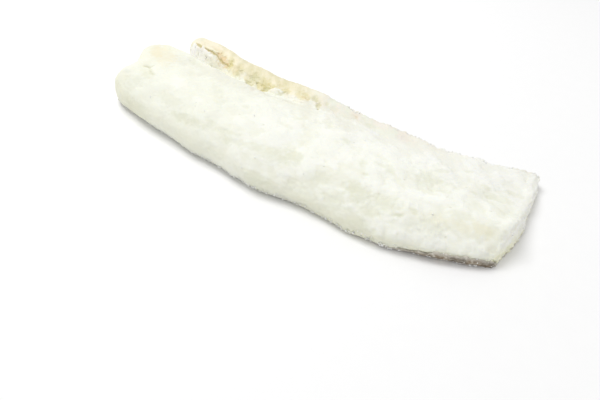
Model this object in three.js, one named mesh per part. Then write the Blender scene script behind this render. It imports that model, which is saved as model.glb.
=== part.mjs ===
// A loin of salted dried cod, boned and trimmed, lying skin side down. Millimetres, +Z up.
// x runs from the thick nape end to the straight tail cut, and y from the round dorsal edge to
// the belly edge. Beside the belly edge, a channel left by the bones parts the loin from a lip
// of belly wall. The channel is open at the nape end and dies out at the middle of the loin.
import * as THREE from "three";

// Plan: where each line of the fish runs, as [x, y] stations from nape to tail.
const DORSAL_EDGE = [
  [-180, -44], [-158, -57], [-130, -64], [-99, -69], [-71, -71.5], [-45, -75], [-28, -75], [0, -78],
  [12, -79.5], [24, -78], [42, -74.5], [60, -74], [86, -75.5], [106, -74], [124, -68], [142, -61],
  [159, -52], [172, -42],
];
const RIDGE = [[-180, -26], [-100, -36], [0, -40], [80, -36], [172, -24]];
const BROW = [[-180, 6], [-150, 9], [-130, 7], [-95, 3], [-55, -2], [20, 0], [172, 4]];
const CHANNEL = [[-180, 27], [-130, 26], [-100, 20], [-70, 12], [-35, 12], [10, 16], [172, 22]];
const LIP = [[-180, 38], [-140, 36], [-124, 34], [-103, 28], [-70, 21], [-40, 21], [0, 27], [172, 36]];
const BELLY_EDGE = [
  [-180, 55], [-164, 59], [-144, 60], [-105, 51], [-65, 47.5], [-14, 48], [3, 44.5], [25, 41.5], [55, 39.5],
  [75, 40], [91, 38], [107, 40.5], [125, 44.5], [147, 50], [172, 53],
];

// Heights over the table of the same lines, as [x, z] stations. The two shoulders are the
// heights that the section would reach over its edges if those were not rounded.
const DORSAL_SHOULDER_Z = [[-180, 29], [-100, 28], [0, 24], [80, 19], [172, 12]];
const RIDGE_Z = [[-180, 33], [-120, 34], [-50, 32], [10, 29], [70, 25], [120, 21], [172, 18]];
const BROW_Z = [[-180, 32], [-130, 31], [-95, 29], [-50, 27], [20, 24], [80, 19], [172, 12]];
const CHANNEL_Z = [
  [-180, 5], [-145, 6], [-130, 8], [-100, 13], [-70, 17], [-35, 20], [10, 20], [80, 15], [172, 10],
];
const LIP_Z = [[-180, 25], [-124, 24], [-103, 22], [-70, 20], [-35, 19], [10, 18], [80, 14], [172, 9]];
const BELLY_SHOULDER_Z = [[-180, 25], [-124, 24], [-70, 20], [0, 18], [60, 15], [120, 11], [172, 8]];

// The ends, as [across, x] stations: across is -1 at the dorsal edge and 1 at the belly edge.
const NAPE_END_X = [
  [-1, -143], [-0.98, -153], [-0.94, -164], [-0.87, -169.5], [-0.78, -169], [-0.64, -164], [-0.53, -165],
  [-0.42, -171], [-0.3, -176], [-0.18, -179], [-0.02, -179], [0.08, -175], [0.16, -168], [0.24, -154],
  [0.36, -146], [0.48, -149], [0.6, -163], [0.72, -171], [0.84, -173], [0.92, -171], [0.97, -164.5],
  [1, -153],
];
const TAIL_CUT_X = [[-1, 166], [-0.4, 168], [0, 168], [0.4, 167], [0.7, 165.5], [1, 161]];
// How much further out the knife left the foot of the cut than its top.
const TAIL_CUT_LEAN = [[-1, 1], [-0.7, 2], [-0.4, 3.5], [-0.2, 3.5], [0, 1.5], [0.6, 1], [1, 1.5]];
const TAIL_CUT_SHARE = 0.03; // of the length, over which a rounded edge becomes the straight cut
const NAPE_SHARE = 0.12; // of the length, over which the nape's rounding becomes that of the sides

// Edges: the height of the widest line of the outline, how far in from it the top surface
// curves down, and how far in from it the foot stands.
const DORSAL_EQUATOR_Z = [[-180, 13], [-100, 11], [0, 9], [100, 7], [172, 6]];
const BELLY_EQUATOR_Z = [[-180, 12], [-70, 9], [60, 6], [172, 4]];
const NAPE_EQUATOR_Z = 14;
const RIM_SHARE = 0.55; // no widest line is higher than this share of the section beside it
const DORSAL_ROUND = 24;
const BELLY_ROUND = 8;
const NAPE_ROUND = [[-1, 20], [-0.5, 20], [-0.25, 11], [1, 11]]; // by across, as the ends are
const TAIL_BEVEL = 1.2;
const DORSAL_INSET = [[-180, 16], [-120, 13], [0, 9], [100, 6], [150, 3], [172, 1.5]];
const BELLY_INSET = [[-180, 8], [0, 6], [172, 2]];
const NAPE_INSET = 13;

// A nick in the nape where a pin bone was drawn.
const BONE_NICK = { x: -134, y: -34, radius: 5, depth: 2.5 };

// Relief of the salt crust, of the edges and of the torn flesh, as [wavelength, height].
const CRUST_LUMPS = [[19, 1.1], [9, 0.7]];
const EDGE_LUMPS = [[14, 1.0], [7, 0.6]];
const TORN_FLAKES = [[11, 2.6], [6, 1.4]];
const TORN_HALF_WIDTH = 7; // of the torn strip on the channel's belly-side wall
const TORN_ENDS_X = [-25, 30]; // where along the loin the tearing dies out
const SMOOTH_RIM = 6; // the crust reaches full height within 1 / SMOOTH_RIM of the half width
const SEED = 7;

// Mesh density: cells along the loin and across it, and rings down the side wall.
const CELLS_ALONG = 96;
const CELLS_ACROSS = 42;
const SIDE_RINGS = 5;
const CROWDING = 0.35; // how much closer together the cells lie at the nape end

const { clamp, lerp, smoothstep } = THREE.MathUtils;

// A smooth curve through [at, value] stations that never overshoots them.
function track(stations) {
  const slopes = stations.slice(1).map(([at, value], i) => {
    return (value - stations[i][1]) / (at - stations[i][0]);
  });
  const tangents = stations.map((_, i) => {
    const [before, after] = [slopes[i - 1] ?? slopes[i], slopes[i] ?? slopes[i - 1]];
    return before * after <= 0 ? 0 : (2 * before * after) / (before + after);
  });
  return (at) => {
    const last = stations.length - 2;
    let i = 0;
    while (i < last && at > stations[i + 1][0]) i++;
    const span = stations[i + 1][0] - stations[i][0];
    const t = clamp((at - stations[i][0]) / span, 0, 1);
    const [from, to] = [stations[i][1], stations[i + 1][1]];
    return (
      from * (1 + 2 * t) * (1 - t) ** 2 +
      to * t * t * (3 - 2 * t) +
      span * t * (1 - t) * (tangents[i] * (1 - t) - tangents[i + 1] * t)
    );
  };
}

// A fixed pseudo-random number from 0 to 1 for each point of a whole-number grid.
function hash(i, j, k) {
  const mixed = Math.sin(i * 127.1 + j * 311.7 + k * 74.7 + SEED * 53.3) * 43758.5453;
  return mixed - Math.floor(mixed);
}

// Smooth noise from -1 to 1.
function noise(x, y, layer) {
  const [i, j] = [Math.floor(x), Math.floor(y)];
  const [u, v] = [smoothstep(x - i, 0, 1), smoothstep(y - j, 0, 1)];
  const near = lerp(hash(i, j, layer), hash(i + 1, j, layer), u);
  const far = lerp(hash(i, j + 1, layer), hash(i + 1, j + 1, layer), u);
  return 2 * lerp(near, far, v) - 1;
}

// The height of a relief of several wavelengths at a place.
function relief(x, y, octaves) {
  return octaves.reduce((sum, [wavelength, height], layer) => {
    return sum + height * noise(x / wavelength, y / wavelength, layer);
  }, 0);
}

// The share of its full height that a rounded rim has reached at a distance in from the edge.
function rounded(distance, radius) {
  const left = clamp(1 - distance / radius, 0, 1);
  return Math.sqrt(1 - left * left);
}

const dorsalEdge = track(DORSAL_EDGE);
const bellyEdge = track(BELLY_EDGE);
const channel = track(CHANNEL);
const lip = track(LIP);
const napeEnd = track(NAPE_END_X);
const tailCut = track(TAIL_CUT_X);
const tailLean = track(TAIL_CUT_LEAN);
const sectionLines = [
  [dorsalEdge, track(DORSAL_SHOULDER_Z)],
  [track(RIDGE), track(RIDGE_Z)],
  [track(BROW), track(BROW_Z)],
  [channel, track(CHANNEL_Z)],
  [lip, track(LIP_Z)],
  [bellyEdge, track(BELLY_SHOULDER_Z)],
];
const dorsalEquator = track(DORSAL_EQUATOR_Z);
const bellyEquator = track(BELLY_EQUATOR_Z);
const dorsalInset = track(DORSAL_INSET);
const bellyInset = track(BELLY_INSET);
const napeRound = track(NAPE_ROUND);

// The section of the loin at one place along it: the height of its top surface at each y.
function sectionAt(x) {
  const profile = track(sectionLines.map(([y, z]) => [y(x), z(x)]));
  return (y) => {
    const dorsalRim = rounded(y - dorsalEdge(x), DORSAL_ROUND);
    const bellyRim = rounded(bellyEdge(x) - y, BELLY_ROUND);
    return lerp(bellyEquator(x), lerp(dorsalEquator(x), profile(y), dorsalRim), bellyRim);
  };
}

// How torn the flesh is at a place: 1 on the channel's belly-side wall, and 0 away from it.
function torn(x, y) {
  const fromMiddle = (y - (channel(x) + lip(x)) / 2) / TORN_HALF_WIDTH;
  return Math.exp(-fromMiddle * fromMiddle) * (1 - smoothstep(x, ...TORN_ENDS_X));
}

// How deep the nick is at a place.
function nick(x, y) {
  const distance = Math.hypot(x - BONE_NICK.x, y - BONE_NICK.y) / BONE_NICK.radius;
  return BONE_NICK.depth * Math.exp(-distance * distance);
}

// Where a place of the loin lies in plan. Along runs from 0, nape, to 1, tail, and across runs
// from -1, dorsal, to 1, belly.
function place(along, across) {
  const x = lerp(napeEnd(across), tailCut(across), along);
  return [x, lerp(dorsalEdge(x), bellyEdge(x), (across + 1) / 2)];
}

// The point of the top surface at a place.
function topPoint(along, across) {
  const [x, y] = place(along, across);
  const crown = sectionAt(x)(y);
  const napeRim = rounded(x - napeEnd(across), napeRound(across));
  const height = lerp(Math.min(NAPE_EQUATOR_Z, RIM_SHARE * crown), crown, napeRim);
  const bevel = TAIL_BEVEL * (1 - rounded(tailCut(across) - x, TAIL_BEVEL));
  const inside = Math.min(1, (1 - across * across) * SMOOTH_RIM) * napeRim;
  const crust = relief(x, y, CRUST_LUMPS) + torn(x, y) * relief(x, y, TORN_FLAKES);
  return new THREE.Vector3(x, y, height - bevel - nick(x, y) + inside * crust);
}

// Spacing of the cells: closer together where the surface turns down at the edges.
const acrossAt = (j) => -Math.cos((Math.PI * j) / CELLS_ACROSS);
function alongAt(i) {
  const t = i / CELLS_ALONG;
  return lerp(t, 1 - Math.cos((Math.PI * t) / 2), CROWDING);
}

function topRow(i) {
  return Array.from({ length: CELLS_ACROSS + 1 }, (_, j) => topPoint(alongAt(i), acrossAt(j)));
}
const topSheet = Array.from({ length: CELLS_ALONG + 1 }, (_, i) => topRow(i));

// The outline of the top surface, anticlockwise seen from above.
const outline = [];
function addToOutline(i, j) {
  outline.push({ point: topSheet[i][j], along: alongAt(i), across: acrossAt(j) });
}
for (let i = 0; i < CELLS_ALONG; i++) addToOutline(i, 0);
for (let j = 0; j < CELLS_ACROSS; j++) addToOutline(CELLS_ALONG, j);
for (let i = CELLS_ALONG; i > 0; i--) addToOutline(i, CELLS_ACROSS);
for (let j = CELLS_ACROSS; j > 0; j--) addToOutline(0, j);

// The point of the side wall below an outline point: down is 0 at the outline and 1 at the foot.
// Rounded edges curve in under the loin, and the tail cut runs straight down with its own lean.
function wallPoint({ point, along, across }, down) {
  const nape = 1 - smoothstep(along, 0, NAPE_SHARE);
  const cut = smoothstep(along, 1 - TAIL_CUT_SHARE, 1);
  const swing = (down * Math.PI) / 2;
  const curvedIn = 1 - Math.cos(swing);
  const drop = lerp(Math.sin(swing), down, cut);
  const lumps = relief(point.x, point.y + point.z * drop, EDGE_LUMPS) * Math.sin(2 * swing);
  const sideInset = across < 0 ? dorsalInset(point.x) : bellyInset(point.x);
  const sideReach = (1 - cut) * (Math.min(point.z, sideInset) * curvedIn + lumps);
  const napeReach = nape * (Math.min(point.z, NAPE_INSET) * curvedIn + lumps);
  const length = tailCut(across) - napeEnd(across);
  const halfWidth = (bellyEdge(point.x) - dorsalEdge(point.x)) / 2;
  const [x, y] = place(along + napeReach / length, across * (1 - sideReach / halfWidth));
  return new THREE.Vector3(x + cut * tailLean(across) * down, y, point.z * (1 - drop));
}

// One closed surface from the top sheet, the side rings and the flat foot.
function loinGeometry() {
  const vertices = topSheet.flat();
  const indexOf = new Map(vertices.map((vertex, index) => [vertex, index]));
  const faces = [];
  for (let i = 0; i < CELLS_ALONG; i++) {
    for (let j = 0; j < CELLS_ACROSS; j++) {
      const corner = i * (CELLS_ACROSS + 1) + j;
      const next = corner + CELLS_ACROSS + 1;
      faces.push(corner, next, next + 1, corner, next + 1, corner + 1);
    }
  }
  let upper = outline.map(({ point }) => indexOf.get(point));
  for (let ring = 1; ring <= SIDE_RINGS; ring++) {
    const lower = upper.map((_, k) => vertices.length + k);
    vertices.push(...outline.map((station) => wallPoint(station, ring / SIDE_RINGS)));
    upper.forEach((here, k) => {
      const beside = (k + 1) % upper.length;
      faces.push(here, lower[k], lower[beside], here, lower[beside], upper[beside]);
    });
    upper = lower;
  }
  const foot = upper.map((index) => new THREE.Vector2(vertices[index].x, vertices[index].y));
  for (const [a, b, c] of THREE.ShapeUtils.triangulateShape(foot, [])) {
    faces.push(upper[a], upper[c], upper[b]);
  }
  return new THREE.BufferGeometry().setFromPoints(vertices).setIndex(faces);
}

const geometry = loinGeometry();
geometry.computeBoundingBox();
const middle = geometry.boundingBox.getCenter(new THREE.Vector3());
geometry.translate(-middle.x, -middle.y, -geometry.boundingBox.min.z);
geometry.computeVertexNormals();

const saltedFlesh = new THREE.MeshStandardMaterial({ color: 0xf1f0e3, roughness: 0.85, metalness: 0 });
const loin = new THREE.Mesh(geometry, saltedFlesh);
loin.name = "cod_loin";

const cod = new THREE.Group();
cod.name = "salted_dried_cod";
cod.add(loin);
export default cod;
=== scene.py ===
# %% [markdown]
# # A loin of salted dried cod
#
# Salted dried cod is fish that was split, stacked in coarse salt for weeks and then dried. What is left
# is a stiff, heavy piece: a thick muscle along the back, a thin belly flap beside it, and a torn valley
# between them where the rib bones and the belly lining were pulled away. A crust of fine salt hides most
# of the flesh, which shows through as faint olive and yellow patches. The skin stays on underneath.
#
# The lesson builds it in four steps: the crusted flesh, the skin below it, the grains of salt on it, and
# then the floor, the lights and the camera.

# %% [markdown]
# ## The frame
#
# The solid of the loin comes from the imported part. Its own mesh stays as it is, and every visible piece
# is made over it, in metres, in the same place. The box of the solid is kept, to hold the crust and the
# grains inside it.

# %% Load the frame
import math
import random
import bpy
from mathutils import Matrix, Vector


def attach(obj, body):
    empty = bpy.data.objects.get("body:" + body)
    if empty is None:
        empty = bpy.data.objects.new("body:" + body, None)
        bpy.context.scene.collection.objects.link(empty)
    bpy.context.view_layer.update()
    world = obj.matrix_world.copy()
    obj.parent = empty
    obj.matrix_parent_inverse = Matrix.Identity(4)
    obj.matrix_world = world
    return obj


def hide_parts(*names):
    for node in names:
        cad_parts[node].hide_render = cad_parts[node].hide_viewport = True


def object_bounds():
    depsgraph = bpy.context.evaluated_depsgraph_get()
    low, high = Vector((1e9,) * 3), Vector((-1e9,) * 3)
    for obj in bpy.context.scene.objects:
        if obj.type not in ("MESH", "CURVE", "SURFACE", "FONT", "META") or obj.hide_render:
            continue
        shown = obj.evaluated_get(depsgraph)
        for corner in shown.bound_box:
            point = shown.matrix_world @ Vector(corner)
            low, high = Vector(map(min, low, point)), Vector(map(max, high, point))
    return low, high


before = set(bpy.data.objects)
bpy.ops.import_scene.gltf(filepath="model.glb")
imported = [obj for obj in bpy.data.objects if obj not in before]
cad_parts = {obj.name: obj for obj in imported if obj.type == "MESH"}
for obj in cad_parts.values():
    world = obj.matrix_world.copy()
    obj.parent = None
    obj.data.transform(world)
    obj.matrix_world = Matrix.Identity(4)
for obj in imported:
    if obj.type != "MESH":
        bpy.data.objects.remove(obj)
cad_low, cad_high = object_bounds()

from types import SimpleNamespace

import bmesh
import bpy
import numpy as np
from mathutils import Matrix, Quaternion, Vector, noise

MM = 0.001
SEED = 11
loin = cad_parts["cod_loin"]
print("solid of the loin, mm:", [round(side / MM, 1) for side in cad_high - cad_low])

# %% [markdown]
# ## Landmarks of the loin
#
# A butcher would describe the piece by a few lines that run along it. Each line here is a list of
# stations: how far along the loin, and then how far across it or how high, in millimetres. Between two
# stations a line runs straight, and noise makes it ragged later. Sharing the lines keeps the shape and
# the colours of the same place together: a tear is a groove in the mesh and a brown line in the finish.

# %% Lines along the loin
# A station is a place along the loin, and then a place across it or the height of the skin's edge.
LINING_EDGE = [(-176, 49), (-150, 47.5), (-138, 45.2), (-123, 44.5), (-110, 44), (-104, 39.5), (-97, 34),
               (-88, 29), (-80, 30), (-74, 27), (-68, 24.5), (-60, 26), (-54, 24), (-49, 28.5),
               (-43, 33), (-33, 33), (-24, 31.5), (-14, 28.5), (-6, 32), (3, 25.5), (8, 33), (20, 35),
               (32, 34), (45, 39), (60, 44), (90, 47), (176, 60)]
TEAR_LINE = [(-152, 47), (-135, 44.5), (-119, 42), (-109, 39.5), (-99, 37), (-86, 33), (-69, 30.5),
             (-51, 29.5), (-32, 30), (-10, 29), (11, 27), (37, 27)]
FLAKE_EDGE = [(-126, 41), (-109, 35), (-86, 27), (-61, 24.5), (-32, 24), (-10, 24.5), (20, 23.5),
              (37, 26)]
VALLEY_LINE = [(-176, 37), (-126, 36), (-96, 30), (-66, 22)]
BELLY_EDGE = [(-176, 65), (-160, 69), (-140, 70), (-101, 61), (-61, 57), (-10, 58), (7, 54), (29, 51),
              (59, 49), (79, 50), (95, 48), (111, 50), (129, 54), (151, 60), (176, 63)]
DORSAL_SKIN_TOP = [(-176, 1.2), (60, 1.1), (104, 1.8), (116, 3.4), (128, 5.2), (140, 7.4), (153, 7.6),
                   (163, 7.0), (170, 5.6), (176, 3.6)]
BELLY_SKIN_TOP = [(-176, 2.4), (0, 2.2), (120, 2.0), (176, 1.6)]

# The sawn end's line runs the other way: a place across the loin, and then a place along it.
TAIL_CUT_LINE = [(-45, 162.5), (-38, 165.5), (-30, 169), (0, 171), (20, 170.5), (46, 167.5), (62, 165)]
TAIL_CUT = 168.5


def line_at(line, along):
    """How far across, or how high, a line is at each distance along the loin."""
    stations, values = zip(*line)
    return np.interp(along, stations, values)


def smooth(zero_at, one_at, value):
    """0 up to one value and 1 beyond another, which may be the lower one, with an S-curve between."""
    share = np.clip((value - zero_at) / (one_at - zero_at), 0, 1)
    return share * share * (3 - 2 * share)


print("lining at mid-length starts", float(line_at(LINING_EDGE, 0)), "mm from the middle")

# %% [markdown]
# ## From the solid to a surface that can be sculpted
#
# The solid is a shell of flat facets a few millimetres wide, and its triangles don't share corners. A
# fine crust needs small, even faces. Subdividing would keep the facets' long thin triangles, so the
# copy is welded and then rebuilt on a grid of voxels, which gives squares of one size all over. A few
# rounds of smoothing take away the old facets. The sawn tail end gets fewer of them, to stay crisp.

# %% Weld, rebuild and smooth
WELD = 0.01 * MM
FLESH_CELL = 1.0 * MM
SKIN_CELL = 1.5 * MM
SKIN_THICKNESS = 0.8 * MM
CRISP_FROM = 164 * MM


def piece_from(shape, name):
    """Makes a bmesh an object in the scene, and frees it."""
    mesh = bpy.data.meshes.new(name)
    shape.to_mesh(mesh)
    shape.free()
    piece = bpy.data.objects.new(name, mesh)
    bpy.context.scene.collection.objects.link(piece)
    return piece


def rebuilt(node, cell):
    """A bmesh of a node's surface in even squares of one size."""
    welded = bmesh.new()
    welded.from_mesh(node.data)
    bmesh.ops.remove_doubles(welded, verts=welded.verts, dist=WELD)
    draft = piece_from(welded, "draft")
    grid = draft.modifiers.new("grid", "REMESH")
    grid.mode = "VOXEL"
    grid.voxel_size = cell
    seen = draft.evaluated_get(bpy.context.evaluated_depsgraph_get())
    shape = bmesh.new()
    shape.from_mesh(seen.to_mesh())
    seen.to_mesh_clear()
    bpy.data.meshes.remove(draft.data)
    return shape


def relaxed(shape, verts, rounds):
    """Smooths some vertices a number of times."""
    for _ in range(rounds):
        bmesh.ops.smooth_vert(
            shape, verts=verts, factor=0.5, use_axis_x=True, use_axis_y=True, use_axis_z=True
        )


flesh_shape = rebuilt(loin, FLESH_CELL)
print("flesh starts with", len(flesh_shape.faces), "squares")

# %% [markdown]
# The underside of the flesh is hidden by the skin. So every square lower than the skin's inner side is
# dissolved into one face, which is lifted just above the skin. The faces saved there go to the places
# with the finest detail, the torn valley and the sawn end, where each square is split into four.

# %% One face below, more faces in the torn places
FOOT = 0.3 * MM
FLESH_LIFT = SKIN_THICKNESS + 0.15 * MM
TORN_START, TORN_END = -156, 45
TORN_BOTTOM = 11
TORN_MARGIN = 3
TORN_REACH = 7.0
CUT_DEPTH = 3
SOFT_ROUNDS = 3
MORE_ROUNDS = 9


def in_torn_zone(vert):
    """True near the tear between the back and the belly flap."""
    x, y, z = vert.co / MM
    if not TORN_START < x < TORN_END:
        return False
    front = line_at(FLAKE_EDGE, x) - TORN_MARGIN
    return front < y < line_at(TEAR_LINE, x) + TORN_REACH and z > TORN_BOTTOM


def on_cut(vert):
    """True on the sawn face of the tail end."""
    return vert.co.x > (TAIL_CUT - CUT_DEPTH) * MM and vert.normal.x > 0.5 and vert.co.z > FOOT


foot = [face for face in flesh_shape.faces if all(vert.co.z < FLESH_LIFT for vert in face.verts)]
bmesh.ops.dissolve_faces(flesh_shape, faces=foot, use_verts=True)
for vert in flesh_shape.verts:
    vert.co.z = max(vert.co.z, FLESH_LIFT)
rising = [vert for vert in flesh_shape.verts if vert.co.z > FLESH_LIFT + 0.1 * MM]
relaxed(flesh_shape, rising, SOFT_ROUNDS)
relaxed(flesh_shape, [vert for vert in rising if vert.co.x < CRISP_FROM], MORE_ROUNDS)
flesh_shape.normal_update()
fine_verts = {vert for vert in rising if in_torn_zone(vert) or on_cut(vert)}
fine_edges = [edge for edge in flesh_shape.edges if all(vert in fine_verts for vert in edge.verts)]
bmesh.ops.subdivide_edges(flesh_shape, edges=fine_edges, cuts=1, use_grid_fill=True)
flesh = piece_from(flesh_shape, "salted_flesh")
print("flesh has", len(flesh.data.polygons), "faces after the torn places were refined")

# %% [markdown]
# ## The relief of the crust
#
# Drying leaves the muscle lumpy, and salt cakes on it in layers and crumbs. Four kinds of noise make
# that: swells of 19 mm, flat cakes of 13 mm that end in a step, rounded lumps of 6.5 mm and crumbs of
# 2 mm. Each is longer along the muscle's fibres, which run aslant over the loin. The noise moves real
# vertices, so the crust shows in the outline too, which a bump in the finish can't do.

# %% Read the flesh as arrays
def places_of(mesh):
    """The places of a mesh's vertices in mm, one row each."""
    flat = np.empty(len(mesh.vertices) * 3)
    mesh.vertices.foreach_get("co", flat)
    return flat.reshape(-1, 3) / MM


mesh = flesh.data
count = len(mesh.vertices)
places = places_of(mesh)
along, across, height = places.T
normals = np.empty(count * 3)
mesh.vertex_normals.foreach_get("vector", normals)
normals = normals.reshape(-1, 3)
facing_tail, facing_up = normals[:, 0], normals[:, 2]
print("vertices to sculpt:", count)

# %% Noise that follows the fibres
FIBRE_TURN = math.radians(-33)
FIBRE_COS, FIBRE_SIN = math.cos(FIBRE_TURN), math.sin(FIBRE_TURN)
NOISE_SHIFT = np.array([7.31, 3.17, 5.53])
OCTAVE_FADE = 0.8
OCTAVE_STEP = 2.0


def noise_at(size, stretch, seed, octaves):
    """Noise of about -1 to 1 at every vertex, in lumps of a size in mm, longer along the fibres."""
    with_fibres = along * FIBRE_COS + across * FIBRE_SIN
    over_fibres = across * FIBRE_COS - along * FIBRE_SIN
    spots = np.stack([with_fibres / stretch, over_fibres, height], axis=1) / size
    spots += NOISE_SHIFT * seed
    return np.array([noise.fractal(spot, OCTAVE_FADE, OCTAVE_STEP, octaves) for spot in spots])


swells = noise_at(19.0, stretch=1.8, seed=1, octaves=2)
lumps = noise_at(6.5, stretch=1.7, seed=2, octaves=2)
cakes = noise_at(13.0, stretch=1.8, seed=6, octaves=4)
crumbs = noise_at(2.2, stretch=1.1, seed=3, octaves=3)
edges_ragged = noise_at(4.0, stretch=1.0, seed=4, octaves=3)
patchy = noise_at(11.0, stretch=1.5, seed=5, octaves=2)
cake = smooth(-0.05, 0.05, cakes) + smooth(0.3, 0.38, cakes)
print("swells run from", swells.min().round(2), "to", swells.max().round(2))

# %% [markdown]
# The crust isn't the same everywhere. It is thin on the sawn end, on the smooth belly lining and on the
# white wall of the valley, and ragged along the back rim and the foot. Each of these places is a number
# from 0 to 1 at every vertex. The two ends given to smooth() say where the place begins and where it is
# full, in millimetres, or as the part of the normal that points up or towards the tail.

# %% Where the crust is thin, ragged or sawn away
past_cut = along - line_at(TAIL_CUT_LINE, across)
past_belly_edge = across - line_at(BELLY_EDGE, along)
past_lining_edge = across - line_at(LINING_EDGE, along)

on_tail_cut = smooth(0.45, 0.8, facing_tail) * smooth(-2.6, -0.8, past_cut)
near_cut = smooth(-7, -1, past_cut)
on_rim = smooth(8, 3, np.abs(past_belly_edge))
on_rim *= 0.3 * smooth(-125, -100, along) + 0.7 * smooth(-25, 15, along)
near_foot = smooth(8, 3, height) * smooth(0, -20, across)
corner = smooth(132, 158, along) * smooth(-13, -4, past_belly_edge) * smooth(0.1, 0.6, facing_up)
under = smooth(-0.4, -0.8, facing_up)
lining = smooth(-1.2, 1.2, past_lining_edge + 1.5 * edges_ragged)
lining_fade = 1 - smooth(-34, 10, along + 10 * patchy)
wall = smooth(0, 2, across - line_at(VALLEY_LINE, along)) * (1 - lining) * smooth(-84, -96, along)
thin = (1 - 0.85 * on_tail_cut) * (1 - 0.75 * lining * lining_fade) * (1 - 0.6 * wall)
crust = thin * (1 - under)
rough_end = 0.7 + 0.6 * smooth(60, 120, along)
print("vertices on the lining:", int((lining * lining_fade > 0.5).sum()))

# %% Add up the swells, lumps, cakes and crumbs
# Each noise is lowered a little, because the crust may not grow past the box of the solid.
SWELL_HEIGHT = 0.7
LUMP_HEIGHT = 0.34
CAKE_HEIGHT = 0.3
CRUMB_HEIGHT = 0.2
RAGGED_HEIGHT = 1.0
SAWN_HEIGHT = 0.45
CUT_FILL = 0.55
CORNER_LIFT = 2.0

relief = SWELL_HEIGHT * (swells - 0.35) + LUMP_HEIGHT * (lumps - 0.3) + CAKE_HEIGHT * (cake - 1.4)
relief = crust * rough_end * (relief + CUT_FILL * near_cut)
crumbly = (0.3 + 0.7 * crust) * (1 - under) * (1 - 0.5 * on_tail_cut)
relief += CRUMB_HEIGHT * crumbly * (crumbs - 0.4)
ragged = np.maximum(on_rim, near_foot) * (1 - under)
relief += RAGGED_HEIGHT * ragged * (edges_ragged + crumbs - 0.5 + 0.25 * on_rim)
relief += SAWN_HEIGHT * on_tail_cut * (edges_ragged + crumbs - 0.6)
relief += CORNER_LIFT * corner * (1 + 0.3 * crumbs)
print("relief runs from", round(relief.min(), 2), "to", round(relief.max(), 2), "mm")

# %% [markdown]
# ## The tear, the patches and the pits
#
# Where the belly lining came away, the flesh tore along a line. Near the nape the tear is a thin crack.
# Further on it widens into a rough band, where mustard and olive patches of bare muscle alternate with
# raised white teeth. Such places are stored once, as lists of ellipses, and used twice: to raise or sink
# the surface here, and to colour it later. Noise moves each ellipse's edge, so that none looks drawn.

# %% Measure the way to lines and spots
def stroke_at(stations, width):
    """1 on a line along the loin, fading to 0 over a width and past its two ends."""
    start, end = stations[0][0], stations[-1][0]
    between = smooth(start - 1, start + 1, along) * (1 - smooth(end - 1, end + 1, along))
    away = across - line_at(stations, along) + 0.6 * edges_ragged
    return np.exp(-((away / width) ** 2)) * between * smooth(8, 12, height)


def strokes_at(strokes):
    """How strongly each vertex lies on one of some lines, each with its own width and strength."""
    total = np.zeros(count)
    for stations, width, strength in strokes:
        total = np.maximum(total, strength * stroke_at(stations, width))
    return total


def spots_at(spots, ragged):
    """How strongly each vertex lies in one of some turned ellipses with ragged edges."""
    total = np.zeros(count)
    for spot_along, spot_across, length, breadth, turn, strength in spots:
        cosine, sine = math.cos(math.radians(turn)), math.sin(math.radians(turn))
        east, north = along - spot_along, across - spot_across
        lengthwise = (east * cosine + north * sine) / length
        crosswise = (north * cosine - east * sine) / breadth
        reach = np.hypot(lengthwise, crosswise)
        total = np.maximum(total, strength * (1 - smooth(0.45, 1.35, reach + ragged)))
    return total


def dents_at(middles, radius):
    """1 at the middle of some small dents, falling to 0 within a radius or two."""
    total = np.zeros(count)
    for dent_along, dent_across in middles:
        reach = np.hypot((along - dent_along) / 1.3, across - dent_across) / radius
        total = np.maximum(total, np.exp(-(reach ** 2)))
    return total * smooth(7, 10, height)


print("vertices along the tear:", int((stroke_at(TEAR_LINE, width=2) > 0.5).sum()))

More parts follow.
